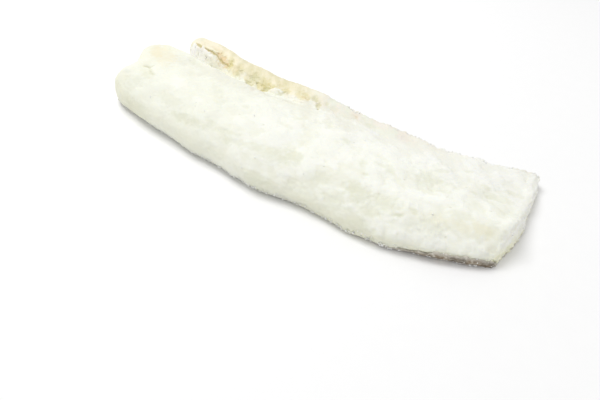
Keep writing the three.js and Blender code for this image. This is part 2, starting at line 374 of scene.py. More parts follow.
# %% Where the patches are: along, across, half-length, half-breadth, turn in degrees, strength
PATCHES = {
    # Olive patches where damp flesh shows through; the long, thin ones low along the front foot are
    # painted shade.
    "damp_and_foot_shade": [
        (34, -46, 8.5, 4.8, -8, 0.65), (22, -52, 11, 5, 5, 0.5), (8, -53, 6.5, 3.2, 10, 0.5),
        (-15, -57, 7, 3, 0, 0.5), (-53, -54, 10, 2.6, -4, 0.35), (-36, -51, 5, 2.2, -10, 0.4),
        (59, -54, 8, 6, 5, 0.35), (86, -49, 10, 6.5, -10, 0.6), (103, -46, 9, 7, 15, 0.6),
        (98, -54, 8, 5, 10, 0.55), (113.5, -49, 3, 1.2, 20, 0.9), (119.5, -42, 3, 2, 0, 0.7),
        (132, -44, 9, 6, 20, 0.3), (75, -57, 10, 4, 0, 0.5), (113, -4, 9, 7, -40, 0.5),
        (119, -3, 3, 2.5, 20, 0.5), (90, -18, 5, 3.2, -50, 0.5), (88, -62, 18, 3.6, -3, 0.5),
        (118, -14, 12, 4, 10, 0.4), (143, -28, 9, 3.5, 10, 0.35),
        (84, -18, 6, 1.8, -5, 0.4), (74, -24, 6, 2.6, -50, 0.5), (81, -33, 2.5, 1.5, 20, 0.6),
        (52, -9, 4.5, 2.6, -25, 0.5), (154, 10, 9, 5, -10, 0.5), (144, 15.5, 4, 2, -15, 0.6),
        (157.5, 23.5, 5, 2.8, 15, 0.55), (163, 24.5, 3.4, 3, -20, 0.5), (152, 7.5, 7, 3, -5, 0.6),
        (140, 1, 3, 2.5, 0, 0.5), (160, 0, 10, 9, 0, 0.3),
        (128.5, 27.5, 4, 2.4, 30, 0.4), (114.5, 8.5, 7, 2.6, 55, 0.4), (119.5, 20, 6, 2.2, 65, 0.15),
        (20, -68, 12, 3, 3, 0.5), (-27, -22.5, 3.5, 3, 0, 0.35), (-55, -23, 18, 5, -36, 0.3),
        (9.5, -6.5, 3, 2, -40, 0.4), (-96, -12, 5, 3, -30, 0.3),
        (-110, 8, 12, 4, -20, 0.35), (46, 33, 4, 6, -60, 0.35), (12, 35, 5, 4, -40, 0.45),
        (-58, -55, 17, 3, -3, 0.6), (-26, -53, 15, 2.4, 4, 0.4), (6, -54, 20, 2.6, 10, 0.35),
        (-50, -64, 26, 2.4, -3, 0.1), (-116, -57, 20, 3.6, -9, 0.5), (-124, -33, 10, 5, -20, 0.45),
        (-130, -44, 13, 5, -8, 0.25), (-82, -47, 15, 4, -8, 0.35), (46, 20, 7, 4, -40, 0.35),
        (30, 2, 8, 4, -40, 0.3), (52, -61, 12, 3, 0, 0.35), (152, 17, 4, 2.5, 0, 0.4),
        (128, -1, 6, 3, 0, 0.3),
    ],
    "yellow": [
        (157, -29.5, 8, 4.5, 10, 0.8), (146, -34, 10, 4, 15, 0.55), (133, -38, 9, 4, 10, 0.5),
        (165, -35, 4, 3, 0, 0.3), (-135, -23, 6, 4, -35, 0.3), (120, -44, 8, 4, 0, 0.3),
    ],
    "amber": [
        (-141, 0, 25, 10, -32, 0.6), (-146, -2.5, 14, 5.5, -31, 0.9), (-155, 5, 11, 6, -40, 0.85),
        (-128, -13, 12, 5, -30, 0.4),
    ],
    "beige": [
        (-80, 3, 40, 11, -3, 0.5), (-66, 8, 20, 6, -5, 0.5), (-48, 12, 16, 6, -5, 0.75),
        (-122, 2, 18, 12, 0, 0.5), (-22, 17, 15, 7, 0, 0.8), (-4, 22, 12, 6, -40, 0.75),
        (8, 12, 14, 7, -40, 0.3), (-118, 20, 16, 6, 0, 0.3), (-12, 5, 16, 6, -20, 0.25),
        (-95, -14, 24, 7, -30, 0.3), (-119, 39.5, 15, 4, -12, 0.7), (30, 15, 18, 9, -30, 0.45),
        (28, 33, 9, 5, -50, 0.7), (8, 4, 14, 6, -35, 0.4), (-92, 6, 22, 7, -10, 0.35),
        (-143, -4, 18, 9, -35, 0.3),
    ],
    "reddish": [
        (30.5, 40, 7.5, 3.8, -52, 0.5), (60, 43, 6, 2.4, -20, 0.25), (97, 41, 8, 2.4, 0, 0.25),
        (-46, 6.5, 4, 2.5, -40, 0.5), (-143, 44, 5, 1.5, 0, 0.5),
        (-133, 41, 4, 1.5, 0, 0.4), (-81, 31, 5, 2.5, -40, 0.5), (145, 14, 2, 2, 0, 0.4),
    ],
    "orange": [
        (-113.5, 42.6, 10, 3.3, -22, 1.0), (-91, 35.6, 7, 3.2, -45, 0.25), (-13, 32.5, 6, 2.6, -20, 0.25),
        (-128, 51, 10, 3, -18, 0.2), (32.5, 36.5, 3, 1.6, -50, 0.4),
    ],
    "mustard": [
        (-101.5, 40.5, 6.4, 3.6, -48, 1.0), (-96, 37.5, 4.5, 2.6, -20, 0.5), (-54, 30, 10, 6.5, -55, 1.0),
        (-49, 34, 8, 3.2, 5, 0.8), (-61, 38, 6, 3, -50, 0.55), (-37, 36.5, 10, 4.2, -25, 0.55),
        (-17, 37, 9, 4, -30, 0.6), (-88, 39, 8, 3.6, -45, 0.4), (-73, 40, 8, 3, -30, 0.35),
        (-38, 42, 14, 6, -20, 0.25), (-19, 33.5, 9, 3.6, -30, 0.5),
        (-118, 47.5, 13, 2.6, -14, 0.35), (-103, 44, 6, 3, -30, 0.5),
    ],
    "olive": [
        (-68, 31.5, 10, 6, -58, 1.0), (-87, 34, 9, 4.5, -38, 0.6), (-50, 28, 4, 2.4, -60, 0.9),
        (-35, 29, 2.6, 6, -25, 0.5), (-5, 36.5, 6, 1.8, -55, 0.7), (1.5, 29.5, 8, 2.2, -60, 0.75),
        (-8, 37.5, 6, 3, -50, 0.5), (4, 38, 5, 1.6, -60, 0.4),
    ],
    "teeth": [
        (-79, 30.5, 3.2, 4.5, -15, 0.4), (-43, 27.5, 5.5, 2.4, 8, 0.9), (-26, 29.5, 6.5, 2.8, -5, 0.9),
        (-61, 25, 2.0, 2.4, -35, 0.4), (-14, 26, 6, 2.5, 0, 0.8), (-124, 40.5, 9, 1.6, -6, 0.7),
        (-108, 36.5, 7, 1.6, -22, 0.6), (-97, 32.5, 5, 1.6, -25, 0.6),
    ],
    "cakes": [
        (121, -26, 16, 4.6, 20, 1.0), (14, -32, 6, 4, -38, 0.7), (-3.5, -29, 4.5, 3.5, -38, 0.6),
        (-19, -40, 7, 3.5, -20, 0.6), (-61, -38, 6, 3, -10, 0.6), (73, 0, 9, 5, -20, 0.6),
        (101, 15, 9, 6, 52, 0.8), (60, -2, 9, 8, -38, 0.5), (44, -2, 3, 8, -30, 0.5),
        (80, 9, 4, 5, 0, 0.5), (143, -42, 4.5, 2, 10, 0.7), (95, -36, 8, 3, 10, 0.6),
        (62, -27, 7, 5, -20, 0.5), (83, -25, 6, 3, 10, 0.5), (-90, -30, 10, 6, -30, 0.5),
        (150, -6, 6, 4, 0, 0.4), (66, -55, 5, 2, 0, 0.6), (121, -57, 9, 2.5, 22, 0.6),
        (-150, -30, 9, 9, 0, 0.4),
    ],
}
patches = {}
for name, spots in PATCHES.items():
    patches[name] = spots_at(spots, 0.4 * edges_ragged + 0.25 * crumbs)
    print(name, "covers", int((patches[name] > 0.4).sum()), "vertices")

# %% Sink and raise the patches, the crack and the pits
SINK = {
    "damp_and_foot_shade": 0.5, "orange": 0.25, "mustard": 0.5, "olive": 0.85, "reddish": 0.3,
    "teeth": -1.25, "cakes": -0.6,
}
CHIP = 3.4
CHIP_HEIGHT = 0.32

# A stroke is its stations, its width in mm and its strength.
CRACKS = [
    ([(-154, 48.2), (-151, 47.5), (-147, 46.4)], 0.8, 0.9),
    ([(-150.5, 47.2), (-146, 46.2), (-142.5, 45.3)], 1.6, 1.0),
    ([(-138.5, 45), (-131, 44.4), (-123, 43.8), (-117, 42.2), (-112, 40.4), (-106, 38.6),
      (-103, 37.6)], 0.75, 1.0),
    ([(-124, 45), (-117, 46.3), (-110, 44.8), (-104, 41.3), (-100, 39)], 0.45, 0.6),
]
CRACK_DEPTH = 0.8
PITS = [(55.4, -5.6), (102, -21), (134, 3.8), (155.2, -12.4), (135, -25.4), (141.7, -44),
        (96, -42), (-27, 25.5), (-151, 45), (-145, 42), (-134, 41), (-24, -33.7),
        (-1.6, -33.7)]
PIT_RADIUS = 0.8
PIT_DEPTH = 0.3
BONE_NICK = [
    ([(-135.8, -25.8), (-132.4, -24.4), (-129.5, -24.6)], 1.1, 1.0),
    ([(-131, -24.4), (-129.2, -21.4)], 1.0, 0.8),
    ([(-128.5, -26.4), (-125, -28.6), (-120.7, -31.8), (-115.5, -32.4)], 1.2, 0.75),
]
NICK_DEPTH = 0.9


def chips_at(size):
    """A number from -2 to 2 at every vertex, the same one within each cell of a Voronoi pattern."""
    shift = Vector((4.7, 9.1, 2.3))
    numbers = []
    for place in places:
        middle_of_cell = noise.voronoi(Vector(place) / size + shift)[1][0]
        numbers.append(2 * noise.cell(middle_of_cell * 9.7))
    return np.array(numbers)


chips = chips_at(CHIP)
torn = patches["orange"] + patches["mustard"] + patches["olive"] + 0.5 * patches["teeth"]
torn = np.clip(torn, 0, 1) * smooth(10, 13, height)
for name, depth in SINK.items():
    relief -= depth * patches[name] * (1 - under)
crack = strokes_at(CRACKS)
nick = strokes_at(BONE_NICK)
pits = dents_at(PITS, PIT_RADIUS)
relief += torn * CHIP_HEIGHT * (chips - 0.3)
relief -= CRACK_DEPTH * crack + PIT_DEPTH * pits + NICK_DEPTH * nick
print("relief with the torn places runs from", round(relief.min(), 2), "to", round(relief.max(), 2), "mm")

# %% [markdown]
# ## The hem over the skin
#
# Dried skin is tight and thin, and the flesh bulges over its edge. So the flesh keeps its own outline
# down to the skin's edge, and below that it steps in by a little more than the skin's thickness. The one
# face below is set back further still, so that its edge never shows past the skin.

# %% Step in under the hem
HEM_STEP = (SKIN_THICKNESS + 0.1 * MM) / MM
HEM_HEIGHT = 0.9
FOOT_SETBACK = 1.0


def skin_top_at(along, across, ragged):
    """How high the skin reaches on the flank, in mm."""
    behind = smooth(-10, 10, across)
    top = line_at(DORSAL_SKIN_TOP, along) * (1 - behind) + line_at(BELLY_SKIN_TOP, along) * behind
    sawn_off = smooth(-1.5, 0.5, along - line_at(TAIL_CUT_LINE, across)) * smooth(-37, -32, across)
    return (top * (1 + 0.14 * ragged) + 0.4 * ragged - 0.3) * (1 - 0.8 * sawn_off)


above_skin = height - skin_top_at(along, across, edges_ragged)
tucked = 1 - smooth(-HEM_HEIGHT, 0.0, above_skin)
relief = relief * (1 - tucked) - HEM_STEP * tucked * (1 - under)
resting = height < (FLESH_LIFT + 0.05 * MM) / MM
moves = normals * relief[:, None]
moves[resting] = -FOOT_SETBACK * normals[resting]
moves[resting, 2] = 0
sculpted = places + moves
sculpted[:, 2] = np.maximum(sculpted[:, 2], FLESH_LIFT / MM)
sculpted = np.clip(sculpted, np.array(cad_low) / MM, np.array(cad_high) / MM)
mesh.vertices.foreach_set("co", (sculpted * MM).ravel())
mesh.update()
print("flesh box, mm:", sculpted.min(0).round(2), sculpted.max(0).round(2))

# %% [markdown]
# ## What the finish has to know
#
# The finish is procedural, but it can't guess where the tear or the lining is. Each of those places is
# stored on the mesh as a number from 0 to 1 per vertex, an attribute, which the shader reads by name.
# This follows the surface exactly.

# %% Where the colour changes
# The flank's warmer, darker white is partly the flesh's own yellow tone and partly painted shade on the
# faces that turn away from the light above; the nape end gets painted shade of the same colour.
steep = smooth(0.6, 0.2, facing_up) * smooth(-118, -92, along) * smooth(60, 20, along)
flank = smooth(0.85, 0.15, facing_up) * smooth(6, -14, across) * (1 - 0.6 * steep)
nape = smooth(-118, -160, along)
far_tail = smooth(-20, 30, across) * smooth(-20, 60, along)
back_rim = smooth(-4.5, -1.5, past_belly_edge) * smooth(-70, -35, along)
back_rim *= smooth(-0.1, 0.3, facing_up + 0.2 * patchy)
lip_tip = smooth(-146, -158, along + 3 * patchy)
blush = smooth(-26, -4, along) * (1 - smooth(70, 118, along)) * smooth(20, 33, across - 0.05 * along)
mid_lining = smooth(-98, -66, along) * (1 - smooth(-40, -22, along))
nape_end = smooth(-0.2, -0.7, facing_tail) * smooth(-110, -140, along)
# Painted shade: a darker grey low on the front and round the nape end, where the contact shadow falls.
around_foot = np.maximum(smooth(15, -15, across), 0.8 * nape_end)
foot_shade = smooth(10, 2, height) * around_foot * (1 - 0.75 * smooth(35, 85, along))
low_spots = smooth(0.3, -0.5, lumps + 0.5 * swells)
print("vertices on the front flank:", int((flank > 0.5).sum()))

# %% Store the places as attributes
def store(mesh, name, values):
    """Keeps one number per vertex under a name that a finish can read."""
    layer = mesh.attributes.new(name, "FLOAT", "POINT")
    layer.data.foreach_set("value", np.clip(values, 0, 1).astype(np.float32))


everywhere = {
    "sawn": on_tail_cut,
    "hollows": 0.5 * low_spots + 0.5 * (1 - np.clip(cake, 0, 1)),
    "crusted": 0.45 + 0.55 * smooth(-70, 30, along),
    "cut_low": smooth(13, 4, height + 3 * patchy),
    "cut_foot": smooth(4.2, 1.4, height + 1.5 * edges_ragged),
}
off_the_cut = {
    "lining": lining * lining_fade * (1 - patches["teeth"]),
    "mid_lining": mid_lining,
    "lip_tip": lip_tip,
    "wall": wall * (1 - 0.8 * smooth(-138, -120, along)),
    "chips": 0.5 + 0.45 * chips,
    "crack": crack,
    "pits": pits,
    "nick": nick,
    # Painted shade, partly: the warm, darker white of the flank, and over the nape end too.
    "flank": flank + 0.6 * nape,
    "cool": far_tail,
    "blush": blush,
    "rim": back_rim * (1 - on_tail_cut),
    "foot_shade": foot_shade,
    **patches,
}
for name, values in everywhere.items():
    store(mesh, name, values)
for name, values in off_the_cut.items():
    store(mesh, name, values * (1 - on_tail_cut))
print("attributes on the flesh:", len(everywhere) + len(off_the_cut))

# %% [markdown]
# ## The skin
#
# The skin is one thin, tight sheet under the whole loin, with a ragged upper edge that shows as a narrow
# grey-brown band near the sawn end. It is the lower part of the same solid: the surface is rebuilt
# coarser, everything above the skin's edge is deleted, and a Solidify modifier gives it thickness
# towards the inside. Its underside has shallow wrinkles, so that it isn't a perfect plane. Where salt
# frosts it, at the sawn end, on most of the front and under the hem, is stored as an attribute. Under
# the hem the paler frost is also painted light, which lifts the shade there.

# %% Cut the skin and thicken it
WRINKLE = 9.0
WRINKLE_DEPTH = 0.35
SKIN_ROUNDS = 5
SKIN_EDGE_ROUNDS = 2


def ragged_at(place, size, seed):
    """Noise at one place, for the skin's edge and its wrinkles."""
    spot = place / (size * MM) + Vector((seed, seed, seed)) * 3.1
    return noise.fractal(spot, OCTAVE_FADE, OCTAVE_STEP, 3)


skin_shape = rebuilt(loin, SKIN_CELL)
relaxed(skin_shape, [vert for vert in skin_shape.verts if vert.co.z > FOOT], SKIN_ROUNDS)
above = []
for face in skin_shape.faces:
    middle = face.calc_center_median()
    top = skin_top_at(middle.x / MM, middle.y / MM, ragged_at(middle, 4.0, 4))
    if middle.z / MM > top:
        above.append(face)
bmesh.ops.delete(skin_shape, geom=above, context="FACES")
relaxed(skin_shape, [vert for vert in skin_shape.verts if vert.is_boundary], SKIN_EDGE_ROUNDS)
for vert in skin_shape.verts:
    vert.co.z = max(vert.co.z, 0.0)
    if vert.co.z < FOOT and not vert.is_boundary:
        vert.co.z += WRINKLE_DEPTH * MM * max(0.0, ragged_at(vert.co, WRINKLE, 9))
skin = piece_from(skin_shape, "fish_skin")
thickness = skin.modifiers.new("thickness", "SOLIDIFY")
thickness.thickness = SKIN_THICKNESS
thickness.offset = -1
print("skin has", len(skin.data.polygons), "faces before its thickness")

# %% Frost the skin
skin_along, skin_across, skin_height = places_of(skin.data).T
off_the_rest = smooth(0.2, 0.8, skin_height)
below_edge = skin_top_at(skin_along, skin_across, 0) - skin_height
past_skin_cut = skin_along - line_at(TAIL_CUT_LINE, skin_across)
skin_cut = smooth(-1, 1, past_skin_cut) * smooth(-37, -32, skin_across)
skin_front = smooth(138, 108, skin_along) * off_the_rest
# Painted light, partly: the skin just under its edge is paler, a salt frost that also lifts the shade
# under the hem.
hem_frost_and_light = smooth(2.4, 0.2, below_edge) * off_the_rest
frost_and_light = np.maximum(np.maximum(skin_cut, 0.85 * skin_front), 0.7 * hem_frost_and_light)
store(skin.data, "frost_and_light", frost_and_light)
print("frosted vertices of the skin:", int((frost_and_light > 0.5).sum()))

# %% [markdown]
# ## The grains of salt
#
# Coarse salt clings to the loin where its surface is rough: along the back rim, at the foot of the front,
# on the sawn end and on the white wall of the valley. A grain is a small cube with chipped edges. They
# are placed by chance on the faces of the flesh, more where a grain would catch, and joined into one
# mesh of real cubes, which is what an exported model keeps.

# %% Where grains catch
GRAINS_PER_MM2 = {
    "anywhere": 0.0005, "foot": 0.3, "low on the front": 0.08, "back rim": 0.13, "valley wall": 0.05,
    "foot of the cut": 0.05, "cut": 0.006,
}
RIM_REACH = 5
VALLEY_END = -96


def grain_chance(place, normal):
    """Grains per square millimetre at a place, and whether they are big ones. The first match counts."""
    x, y, z = place / MM
    if normal.z < -0.6 or z < 1.2:
        return 0.0, False
    if x > TAIL_CUT - 5 and normal.x > 0.4:
        return GRAINS_PER_MM2["foot of the cut" if z < 3 else "cut"], False
    if z < 4 and y < 0 and x > -150:
        return GRAINS_PER_MM2["foot"], x > -20
    if x > 15 and abs(y + 3 - line_at(BELLY_EDGE, x)) < RIM_REACH and 0.35 < normal.y < 0.7:
        return GRAINS_PER_MM2["back rim"], True
    if z < 7 and y < 0 and x > -60:
        return GRAINS_PER_MM2["low on the front"], False
    if x < VALLEY_END and 33 < y < line_at(TEAR_LINE, x) - 1:
        return GRAINS_PER_MM2["valley wall"], False
    return GRAINS_PER_MM2["anywhere"], False


# %% Scatter the grains
GRAIN_SIZES = (0.45, 1.0)
BIG_GRAIN_SIZES = (0.7, 1.3)
FULL_TURN = 6.28
CHIPPED_PERCENT = 14

# Parts of a grain's size: how deep it sits, and how far it stays inside the box of the solid.
SUNK = 0.25
ROOM = 0.6

dice = random.Random(SEED)
grain_shape = bmesh.new()
grain_count = 0
for face in mesh.polygons:
    density, big = grain_chance(face.center, face.normal)
    if dice.random() > density * face.area / MM ** 2:
        continue
    size = dice.uniform(*(BIG_GRAIN_SIZES if big else GRAIN_SIZES)) * MM
    axis = (dice.uniform(-1, 1), dice.uniform(-1, 1), dice.uniform(-1, 1))
    spin = Quaternion(axis, dice.uniform(0, FULL_TURN))
    sides = Vector((size, size * dice.uniform(0.7, 1), size * dice.uniform(0.6, 1)))
    place = face.center + face.normal * size * (0.5 - SUNK)
    room = size * ROOM
    if all(cad_low[i] + room < place[i] < cad_high[i] - room for i in range(3)):
        bmesh.ops.create_cube(grain_shape, size=1, matrix=Matrix.LocRotScale(place, spin, sides))
        grain_count += 1
bmesh.ops.bevel(
    grain_shape, geom=grain_shape.edges, offset=CHIPPED_PERCENT, offset_type="PERCENT",
    affect="EDGES", segments=1, profile=0.5, material=-1,
)
bmesh.ops.recalc_face_normals(grain_shape, faces=grain_shape.faces)
grains = piece_from(grain_shape, "salt_grains")
print("grains of salt:", grain_count, "with", len(grains.data.polygons), "faces")

# %% [markdown]
# ## A small tool for shader maths
#
# A finish is a network of nodes. Written out link by link it is hard to read, so one class wraps an
# output socket and lets Python's operators add the Math nodes. Any other node comes from its method
# node(), which takes the node's type, its settings and then its sockets.

# %% The class Wire
class Wire:
    """One output of a material's node tree. Arithmetic on it adds Math nodes."""

    def __init__(self, tree, socket=None):
        self.tree = tree
        self.socket = socket

    def node(self, kind, settings=(), sockets=(), outlet=0):
        """Adds a node, sets it up, fills or links its sockets and returns one output."""
        made = self.tree.nodes.new("ShaderNode" + kind)
        for name, value in dict(settings).items():
            setattr(made, name, value)
        for name, value in dict(sockets).items():
            if isinstance(value, Wire):
                self.tree.links.new(value.socket, made.inputs[name])
            else:
                made.inputs[name].default_value = value
        return Wire(self.tree, made.outputs[outlet])

    def math(self, operation, *values):
        return self.node("Math", {"operation": operation}, dict(enumerate(values)))

    def __add__(self, other):
        return self.math("ADD", self, other)

    def __sub__(self, other):
        return self.math("SUBTRACT", self, other)

    def __mul__(self, other):
        return self.math("MULTIPLY", self, other)

    def __rsub__(self, other):
        return self.math("SUBTRACT", other, self)

    __radd__ = __add__
    __rmul__ = __mul__

    def clamped(self):
        return self.node("Clamp", (), {0: self})

    def step(self, low, high):
        """An S-curve from 0 at low to 1 at high."""
        return self.node("MapRange", {"interpolation_type": "SMOOTHSTEP"}, {0: self, 1: low, 2: high})


def tint(red, green, blue):
    """A colour given as on a screen, 0 to 255, made linear for a shader."""
    linear = [((part / 255 + 0.055) / 1.055) ** 2.4 for part in (red, green, blue)]
    return (*linear, 1)


def over(mask, above, below):
    """Lays one colour over another where the mask is 1. A Mix node's colours are its sockets 6 and 7."""
    return mask.node("Mix", {"data_type": "RGBA"}, {0: mask, 6: below, 7: above}, outlet=2)


def new_finish(name):
    """An empty material: its Wire to start nodes from, and its shader node."""
    material = bpy.data.materials.new(name)
    material.use_nodes = True
    return material, Wire(material.node_tree), material.node_tree.nodes["Principled BSDF"]


def texture_place(wire, turn=0.0, squeeze=(1, 1, 1)):
    """Object coordinates, turned about the vertical by some degrees and then squeezed on each axis."""
    place = wire.node("TexCoord", outlet="Object")
    turned = wire.node("Mapping", (), {"Vector": place, "Rotation": Vector((0, 0, math.radians(turn)))})
    return wire.node("VectorMath", {"operation": "MULTIPLY"}, {0: turned, 1: Vector(squeeze)})


def place_across(wire):
    """How far across the loin, in metres."""
    return wire.node("SeparateXYZ", (), {0: wire.node("TexCoord", outlet="Object")}, outlet="Y")


def speckle(wire, place, size, detail=3.0, roughness=0.5):
    """Noise from 0 to 1 with lumps of a size in metres."""
    sockets = {"Vector": place, "Scale": 1 / size, "Detail": detail, "Roughness": roughness}
    return wire.node("TexNoise", (), sockets)


def attribute(wire, name):
    """A number per vertex that a piece stores under a name."""
    return wire.node("Attribute", {"attribute_name": name}, outlet="Fac")


def finish_with(shader, wire, colour, rough, height, depth):
    """Links the colour, the roughness and a bump to a shader."""
    links = wire.tree.links
    links.new(colour.socket, shader.inputs["Base Color"])
    links.new(rough.socket, shader.inputs["Roughness"])
    bump = wire.node("Bump", (), {"Strength": 1.0, "Distance": depth, "Height": height})
    links.new(bump.socket, shader.inputs["Normal"])


def let_light_in(shader, weight, radius, scale):
    """Lets light scatter under the surface, by a radius for red, green and blue."""
    shader.inputs["Subsurface Weight"].default_value = weight
    shader.inputs["Subsurface Radius"].default_value = radius
    shader.inputs["Subsurface Scale"].default_value = scale


print("a grey of 128 on a screen is", round(tint(128, 128, 128)[0], 3), "to a shader")

# %% [markdown]
# ## The finish of the flesh
#
# Salt is almost white, and the flesh under it is a cool, translucent cream. How thick the salt lies
# decides what shows: crests are white, hollows let the cream and olive through. Over that come the
# places stored on the mesh, each with its own colour: the cream belly lining, the mustard and olive
# flakes with a brown crack, the pale sawn end. A little scattering under the surface softens the shadows.
#
# All of it could be one long chain of nodes. Split by place, each part stays short: a function takes the
# colour so far and returns it with one more place on top.

# %% Noises on the flesh
PATTERN_TURN = 55


def flesh_noises(wire):
    """The noises that mottle the flesh, from broad drifts to powder."""
    even = texture_place(wire)
    grain = texture_place(wire, turn=33, squeeze=(0.5, 1, 1))
    fibres = texture_place(wire, turn=PATTERN_TURN, squeeze=(0.3, 1, 1))
    short_fibres = texture_place(wire, turn=PATTERN_TURN, squeeze=(0.5, 1, 1))
    noises = SimpleNamespace(
        broad=speckle(wire, grain, 22 * MM, 3),
        middle=speckle(wire, grain, 7 * MM, 4),
        fine=speckle(wire, even, 1.6 * MM, 3, 0.6),
        powder=speckle(wire, even, 0.6 * MM, 2, 0.6),
        streaks=speckle(wire, fibres, 1.6 * MM, 4, 0.6),
        drifts=speckle(wire, fibres, 5 * MM, 3),
        clouds=speckle(wire, short_fibres, 9 * MM, 4, 0.6),
    )
    noises.mottled = (noises.middle * 0.8 + noises.fine * 0.4 + 0.2).clamped()
    hollow = attribute(wire, "hollows") * 0.7 + noises.broad * 0.9 + noises.middle * 0.5
    noises.bare = hollow.step(0.8, 1.5)
    return noises


def layered(wire, noises, layers, colour):
    """Lays colours on top, each where an attribute is high, partly mottled and partly even."""
    for name, mottled_part, even_part, colour_above in layers:
        mask = attribute(wire, name) * (noises.mottled * mottled_part + even_part)
        colour = over(mask, colour_above, colour)
    return colour


print("the streaks of the flesh are turned by", PATTERN_TURN, "degrees")

# %% The crust, with the flesh that shows through it
SALT_WHITE = tint(247, 248, 238)
SALT_SOFT = tint(243, 244, 231)
SALT_CAKE = tint(252, 253, 244)
SALT_COOL = tint(244, 244, 238)
# SALT_WARM_SHADE is the flank's warm tone, darkened as painted shade.
SALT_WARM_SHADE = tint(239, 239, 219)
# WALL_SALT_AND_LIGHT is the wall's white salt raised to full white: painted light that keeps the wall
# bright in the shade of the ridge before it.
WALL_SALT_AND_LIGHT = tint(255, 253, 248)
FLESH_CREAM = tint(236, 236, 219)
# OLIVE_AND_FOOT_SHADE is the olive of damp flesh, and painted shade along the foot.
OLIVE_AND_FOOT_SHADE = tint(222, 223, 198)
FLESH_YELLOW = tint(240, 237, 211)
FLESH_AMBER = tint(238, 231, 202)
FLESH_BEIGE = tint(229, 227, 211)
FLESH_PINK = tint(228, 219, 204)
BLUSH_PINK = tint(240, 233, 221)
BLUSH_SAGE = tint(234, 236, 220)
RIM_PINK = tint(245, 238, 226)
# FOOT_SHADE_GREY is painted shade at the foot of the loin.
FOOT_SHADE_GREY = tint(212, 212, 202)
NICK_OLIVE = tint(218, 217, 190)
PIT_GREY = tint(205, 202, 182)

# An attribute, how strong it is where it is mottled and where it is even, and the colour it lays.
CRUST_LAYERS = [
    ("beige", 0.6, 0.4, FLESH_BEIGE),
    # Painted light, partly: the valley wall laid in full white.
    ("wall", 0, 1, WALL_SALT_AND_LIGHT),
    # Olive of damp flesh, and painted shade low along the front foot.
    ("damp_and_foot_shade", 1, 0, OLIVE_AND_FOOT_SHADE),
    ("yellow", 1, 0, FLESH_YELLOW),
    ("cakes", 0, 0.7, SALT_CAKE),
    ("amber", 0.5, 0.5, FLESH_AMBER),
    ("nick", 0, 0.9, NICK_OLIVE),
]
RIM_LAYERS = [("reddish", 1, 0, FLESH_PINK), ("rim", 0, 0.8, RIM_PINK)]


def crust_colour(wire, noises):
    """Salt of several whites, thinner where the surface is hollow, with damp and coloured patches, and
    painted shade on the flank, at the foot and in the low patches along the foot.
    """
    cool = attribute(wire, "cool")
    colour = over(attribute(wire, "crusted").step(0.5, 0.95), SALT_WHITE, SALT_SOFT)
    colour = over((cool + noises.broad - 0.6).clamped() * 0.8, SALT_COOL, colour)
    # Painted shade, partly: the flank and the nape end in a warmer, darker white.
    colour = over(attribute(wire, "flank"), SALT_WARM_SHADE, colour)
    showing = noises.bare * attribute(wire, "crusted") * (1 - attribute(wire, "cakes"))
    showing = showing * (1 - 0.4 * cool)
    colour = over(showing * 0.65, FLESH_CREAM, colour)
    # Painted shade: a darker grey at the foot, where the contact shadow falls.
    colour = layered(wire, noises, [("foot_shade", 0.6, 0.2, FOOT_SHADE_GREY)], colour)
    blushing = over(noises.clouds.step(0.35, 0.65), BLUSH_PINK, BLUSH_SAGE)
    colour = over(attribute(wire, "blush") * 0.85, blushing, colour)
    return layered(wire, noises, CRUST_LAYERS, colour)


print("layers over the crust:", [name for name, *_ in CRUST_LAYERS])

# %% The belly lining and the torn flakes
LINING_CREAM = tint(247, 239, 213)
LINING_DEEP = tint(230, 223, 188)
LIP_TIP = tint(242, 238, 213)
TOOTH_CREAM = tint(243, 239, 224)
TORN_ORANGE = tint(234, 212, 170)
TORN_BROWN = tint(209, 184, 140)
TORN_MUSTARD = tint(222, 212, 158)
TORN_OLIVE = tint(213, 209, 168)
TORN_CREAM = tint(239, 232, 205)
CRACK_BROWN = tint(207, 188, 140)
CRACK_OLIVE = tint(204, 197, 146)


def with_lining(wire, noises, colour):
    """Adds the smooth cream lining, deeper in drifts and paler at the lip's tip."""
    drifting = noises.broad * 0.5 + noises.drifts * 0.5 + attribute(wire, "mid_lining") * 0.07
    membrane = over(drifting.step(0.42, 0.62), LINING_DEEP, LINING_CREAM)
    membrane = over(attribute(wire, "lip_tip") * 0.8, LIP_TIP, membrane)
    return over(attribute(wire, "lining"), membrane, colour)


def with_torn_flakes(wire, noises, colour):
    """Adds the white teeth, the mustard, olive and orange flakes, and the crack along them."""
    torn = noises.streaks * 0.6 + attribute(wire, "chips") * 0.4
    colour = over(attribute(wire, "teeth"), TOOTH_CREAM, colour)
    colour = over(attribute(wire, "mustard"), over(torn.step(0.5, 0.9), TORN_CREAM, TORN_MUSTARD), colour)
    colour = over(attribute(wire, "olive"), over(torn.step(0.5, 0.95), TORN_CREAM, TORN_OLIVE), colour)
    colour = over(attribute(wire, "orange"), over(torn.step(0.35, 0.6), TORN_ORANGE, TORN_BROWN), colour)
    cracked = over(noises.streaks.step(0.4, 0.6), CRACK_BROWN, CRACK_OLIVE)
    return over(attribute(wire, "crack").step(0.15, 1.0), cracked, colour)


print("the lining's cream, linear:", [round(part, 2) for part in LINING_CREAM[:3]])

# %% The sawn end
SAWN_OLIVE = tint(254, 253, 226)
SAWN_PALE = tint(254, 254, 247)
SAWN_CRUST = tint(254, 254, 246)
SAWN_FOOT = tint(222, 220, 188)
SAWN_FLAKE = tint(236, 235, 212)
CUT_MIDDLE = Vector((0, 0.012, 0.004))
FLAKE_RINGS = {"Scale": 34.0, "Distortion": 6.0, "Detail": 4.0, "Detail Scale": 1.4}


